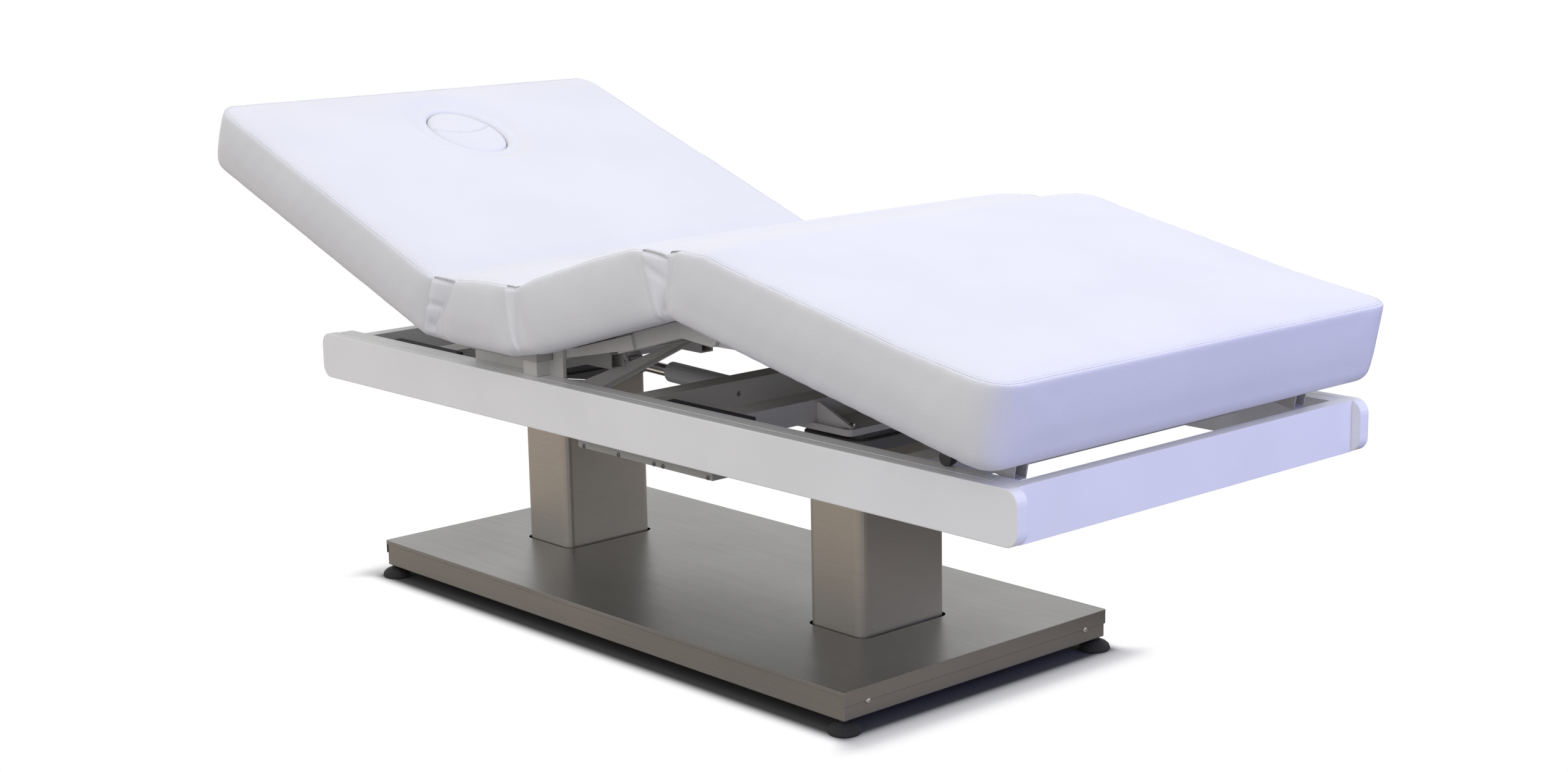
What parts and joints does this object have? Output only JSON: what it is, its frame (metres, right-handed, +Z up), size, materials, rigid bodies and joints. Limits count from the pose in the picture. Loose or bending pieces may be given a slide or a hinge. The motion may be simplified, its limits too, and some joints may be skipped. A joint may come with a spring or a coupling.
{
  "type": "treatment table",
  "caption": "Electric treatment table with padded back, seat, thigh and leg sections on a rail frame, two lifting columns and a flat steel base with levelling feet",
  "frame": {"origin": "on the floor under the middle of the whole table in the pose of the picture", "axes": "X from the head end to the foot end, Y across the table, Z up"},
  "size_m": [1.8559, 0.812, 0.8037],
  "materials": {
    "white_leather": "satin",
    "silver_paint": "satin",
    "grey_paint": "satin",
    "satin_silver": "satin",
    "brushed_steel": "brushed",
    "dark_steel": "matte",
    "grey_plastic": "matte",
    "black_rubber": "matte",
    "dark_board": "matte",
    "chrome": "polished"
  },
  "bodies": {
    "base": {"base_plate": "dark_steel", "base_lid": "brushed_steel", "base_skirt": "brushed_steel", "head_column_outer": "satin_silver", "foot_column_outer": "satin_silver", "head_collar_lower": "grey_plastic", "foot_collar_lower": "grey_plastic"},
    "head_stage": {"head_column_middle": "satin_silver", "head_collar_upper": "grey_plastic"},
    "foot_stage": {"foot_column_middle": "satin_silver", "foot_collar_upper": "grey_plastic"},
    "frame": {"head_column_inner": "satin_silver", "foot_column_inner": "satin_silver", "head_top_plate": "grey_paint", "foot_top_plate": "grey_paint", "head_column_beam": "grey_paint", "foot_column_beam": "grey_paint", "side_rail_near": "silver_paint", "side_rail_far": "silver_paint", "inner_rail_near": "silver_paint", "inner_rail_far": "silver_paint", "head_cross_rail": "silver_paint", "foot_cross_rail": "silver_paint", "actuator_beam": "grey_paint", "leg_beam": "grey_paint", "head_rail_bracket_near": "dark_steel", "head_rail_bracket_far": "dark_steel", "foot_rail_bracket_near": "dark_steel", "foot_rail_bracket_far": "dark_steel", "control_box": "grey_plastic", "seat_board": "dark_board", "seat_cushion": "white_leather", "seat_tube_near": "grey_paint", "seat_tube_far": "grey_paint", "seat_side_plate_near": "grey_paint", "seat_side_plate_far": "grey_paint"},
    "back": {"back_board": "dark_board", "back_cushion": "white_leather", "back_arm_near": "grey_paint", "back_arm_far": "grey_paint", "back_lever_bar": "grey_paint"},
    "plug": {"face_plug": "white_leather"},
    "thigh": {"thigh_board": "dark_board", "thigh_cushion": "white_leather", "thigh_arm_near": "grey_paint", "thigh_arm_far": "grey_paint", "thigh_lever_bar": "grey_paint"},
    "leg": {"leg_board": "dark_board", "leg_cushion": "white_leather", "leg_arm_near": "grey_paint", "leg_arm_far": "grey_paint", "leg_cross_bar": "grey_paint"},
    "back_drive": {"back_actuator": "dark_steel"},
    "back_rod": {"back_actuator_rod": "chrome"},
    "knee_drive": {"knee_actuator": "dark_steel"},
    "knee_rod": {"knee_actuator_rod": "chrome"},
    "foot_head_near": {"levelling_foot_head_near": "black_rubber"},
    "foot_head_far": {"levelling_foot_head_far": "black_rubber"},
    "foot_foot_near": {"levelling_foot_foot_near": "black_rubber"},
    "foot_foot_far": {"levelling_foot_foot_far": "black_rubber"}
  },
  "joints": [
    {"name": "lift", "type": "slide", "parent": "base", "child": "frame", "axis": [0, 0, 1], "range_m": [0, 0.35]},
    {"name": "head_stage_lift", "type": "slide", "parent": "base", "child": "head_stage", "axis": [0, 0, 1], "range_m": [0, 0.1751]},
    {"name": "foot_stage_lift", "type": "slide", "parent": "base", "child": "foot_stage", "axis": [0, 0, 1], "range_m": [0, 0.1751]},
    {"name": "back_recline", "type": "hinge", "parent": "frame", "child": "back", "pos_m": [-0.2589, 0, 0.534], "axis": [0, 1, 0], "range_deg": [-19.6, 50.4]},
    {"name": "thigh_raise", "type": "hinge", "parent": "frame", "child": "thigh", "pos_m": [-0.0539, 0, 0.539], "axis": [0, -1, 0], "range_deg": [-16, 14]},
    {"name": "leg_fold", "type": "hinge", "parent": "thigh", "child": "leg", "pos_m": [0.2961, 0, 0.53899], "axis": [0, -1, 0], "range_deg": [-24.4, 27.8]},
    {"name": "plug_lift", "type": "slide", "parent": "back", "child": "plug", "axis": [0.3356, 0, 0.942], "range_m": [0, 0.1]},
    {"name": "back_drive_tilt", "type": "hinge", "parent": "frame", "child": "back_drive", "pos_m": [0.0961, 0, 0.374], "axis": [0, 1, 0], "range_deg": [-2.5, 6.2]},
    {"name": "back_rod_extend", "type": "slide", "parent": "back_drive", "child": "back_rod", "axis": [-0.9996, 0, 0.0279], "range_m": [-0.0465, 0.1195]},
    {"name": "knee_drive_tilt", "type": "hinge", "parent": "frame", "child": "knee_drive", "pos_m": [-0.5389, -0.17, 0.345], "axis": [0, 1, 0], "range_deg": [-5.4, 4.8]},
    {"name": "knee_rod_extend", "type": "slide", "parent": "knee_drive", "child": "knee_rod", "axis": [0.9944, 0, 0.106], "range_m": [-0.038, 0.0332]},
    {"name": "foot_turn_head_near", "type": "hinge", "parent": "base", "child": "foot_head_near", "pos_m": [-0.6154, -0.2655, 0.02], "axis": [0, 0, 1], "continuous": true},
    {"name": "foot_turn_head_far", "type": "hinge", "parent": "base", "child": "foot_head_far", "pos_m": [-0.6154, 0.2655, 0.02], "axis": [0, 0, 1], "continuous": true},
    {"name": "foot_turn_foot_near", "type": "hinge", "parent": "base", "child": "foot_foot_near", "pos_m": [0.5076, -0.2655, 0.02], "axis": [0, 0, 1], "continuous": true},
    {"name": "foot_turn_foot_far", "type": "hinge", "parent": "base", "child": "foot_foot_far", "pos_m": [0.5076, 0.2655, 0.02], "axis": [0, 0, 1], "continuous": true}
  ],
  "couplings": [
    {"joint": "head_stage_lift", "follows": "lift", "ratio": 0.5},
    {"joint": "foot_stage_lift", "follows": "lift", "ratio": 0.5},
    {"joint": "leg_fold", "follows": "thigh_raise", "ratio": -1.73},
    {"joint": "back_drive_tilt", "follows": "back_recline", "ratio": 0.12},
    {"joint": "back_rod_extend", "follows": "back_recline", "m_per_rad": 0.135},
    {"joint": "knee_drive_tilt", "follows": "thigh_raise", "ratio": 0.33},
    {"joint": "knee_rod_extend", "follows": "thigh_raise", "m_per_rad": 0.135}
  ]
}
